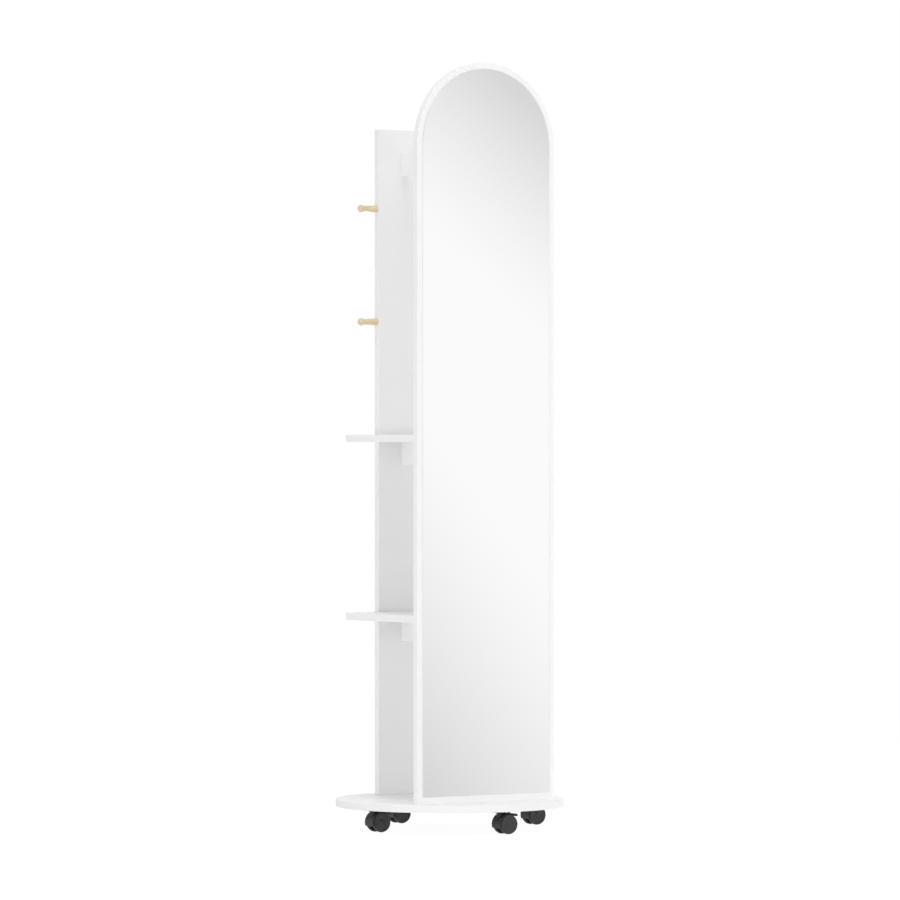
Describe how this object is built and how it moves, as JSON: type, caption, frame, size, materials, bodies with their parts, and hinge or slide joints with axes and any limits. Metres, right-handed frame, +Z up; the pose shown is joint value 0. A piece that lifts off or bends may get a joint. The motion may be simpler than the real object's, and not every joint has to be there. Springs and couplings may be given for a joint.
{
  "type": "mobile full-length mirror stand with shelves and coat pegs",
  "caption": "Arched full-length mirror on a round castered base, with a narrow back board, cross rails, shelves and turned coat pegs behind it.",
  "frame": {"origin": "on the floor under the centre of the round base", "axes": "+X to the right as one stands before the mirror and faces it, +Y from the mirror to the back board, +Z up; the mirror faces -Y"},
  "size_m": [0.4999, 0.5, 1.6688],
  "materials": {
    "white_board": "satin white painted fibreboard, a guess from the even white",
    "mirror": "silvered float glass with ground edges",
    "foam_tape": "foam mounting tape",
    "peg_wood": "clear lacquered light wood, taken as beech",
    "dowel_wood": "plain beech",
    "white_cap": "moulded white cover cap",
    "cam_zinc": "die-cast zinc",
    "fastener_steel": "zinc plated steel",
    "black_screw": "black zinc",
    "caster_plate": "black powder coat",
    "pin_steel": "turned steel",
    "caster_housing": "moulded black nylon",
    "caster_wheel": "moulded black nylon"
  },
  "bodies": {
    "stand": {"back_board": "white_board", "base_disc": "white_board", "base_screws": "fastener_steel", "cam_bolts": "fastener_steel", "caster_screws": "black_screw", "front_caster_kingpin": "pin_steel", "front_caster_plate": "caster_plate", "left_caster_kingpin": "pin_steel", "left_caster_plate": "caster_plate", "left_lower_peg": "peg_wood", "left_upper_peg": "peg_wood", "lower_shelf": "white_board", "lower_shelf_rail": "white_board", "mirror_board": "white_board", "mirror_glass": "mirror", "mirror_tape": "foam_tape", "peg_screws": "fastener_steel", "rail_cam_caps": "white_cap", "rail_cam_locks": "cam_zinc", "rear_caster_kingpin": "pin_steel", "rear_caster_plate": "caster_plate", "right_caster_kingpin": "pin_steel", "right_caster_plate": "caster_plate", "right_lower_peg": "peg_wood", "right_upper_peg": "peg_wood", "shelf_cam_caps": "white_cap", "shelf_cam_locks": "cam_zinc", "top_rail": "white_board", "upper_shelf": "white_board", "upper_shelf_rail": "white_board", "wooden_dowels": "dowel_wood"},
    "front_caster": {"front_caster_housing": "caster_housing", "front_caster_axle": "pin_steel"},
    "front_near_wheel": {"front_caster_near_wheel": "caster_wheel"},
    "front_far_wheel": {"front_caster_far_wheel": "caster_wheel"},
    "rear_caster": {"rear_caster_housing": "caster_housing", "rear_caster_axle": "pin_steel"},
    "rear_near_wheel": {"rear_caster_near_wheel": "caster_wheel"},
    "rear_far_wheel": {"rear_caster_far_wheel": "caster_wheel"},
    "left_caster": {"left_caster_housing": "caster_housing", "left_caster_axle": "pin_steel"},
    "left_near_wheel": {"left_caster_near_wheel": "caster_wheel"},
    "left_far_wheel": {"left_caster_far_wheel": "caster_wheel"},
    "right_caster": {"right_caster_housing": "caster_housing", "right_caster_axle": "pin_steel"},
    "right_near_wheel": {"right_caster_near_wheel": "caster_wheel"},
    "right_far_wheel": {"right_caster_far_wheel": "caster_wheel"}
  },
  "joints": [
    {"name": "front_swivel", "type": "hinge", "parent": "stand", "child": "front_caster", "pos_m": [-0.012, -0.208, 0.048], "axis": [0, 0, 1], "continuous": true},
    {"name": "front_near_wheel_roll", "type": "hinge", "parent": "front_caster", "child": "front_near_wheel", "pos_m": [-0.00002, -0.20863, 0.0215], "axis": [0.0523, 0.9986, 0], "continuous": true},
    {"name": "front_far_wheel_roll", "type": "hinge", "parent": "front_caster", "child": "front_far_wheel", "pos_m": [-0.00002, -0.20863, 0.0215], "axis": [0.0523, 0.9986, 0], "continuous": true},
    {"name": "rear_swivel", "type": "hinge", "parent": "stand", "child": "rear_caster", "pos_m": [-0.005, 0.208, 0.048], "axis": [0, 0, 1], "continuous": true},
    {"name": "rear_near_wheel_roll", "type": "hinge", "parent": "rear_caster", "child": "rear_near_wheel", "pos_m": [0.00698, 0.20737, 0.0215], "axis": [0.0523, 0.9986, 0], "continuous": true},
    {"name": "rear_far_wheel_roll", "type": "hinge", "parent": "rear_caster", "child": "rear_far_wheel", "pos_m": [0.00698, 0.20737, 0.0215], "axis": [0.0523, 0.9986, 0], "continuous": true},
    {"name": "left_swivel", "type": "hinge", "parent": "stand", "child": "left_caster", "pos_m": [-0.202, 0, 0.048], "axis": [0, 0, 1], "continuous": true},
    {"name": "left_near_wheel_roll", "type": "hinge", "parent": "left_caster", "child": "left_near_wheel", "pos_m": [-0.19002, -0.00063, 0.0215], "axis": [0.0523, 0.9986, 0], "continuous": true},
    {"name": "left_far_wheel_roll", "type": "hinge", "parent": "left_caster", "child": "left_far_wheel", "pos_m": [-0.19002, -0.00063, 0.0215], "axis": [0.0523, 0.9986, 0], "continuous": true},
    {"name": "right_swivel", "type": "hinge", "parent": "stand", "child": "right_caster", "pos_m": [0.214, 0, 0.048], "axis": [0, 0, 1], "continuous": true},
    {"name": "right_near_wheel_roll", "type": "hinge", "parent": "right_caster", "child": "right_near_wheel", "pos_m": [0.22598, -0.00063, 0.0215], "axis": [0.0523, 0.9986, 0], "continuous": true},
    {"name": "right_far_wheel_roll", "type": "hinge", "parent": "right_caster", "child": "right_far_wheel", "pos_m": [0.22598, -0.00063, 0.0215], "axis": [0.0523, 0.9986, 0], "continuous": true}
  ]
}
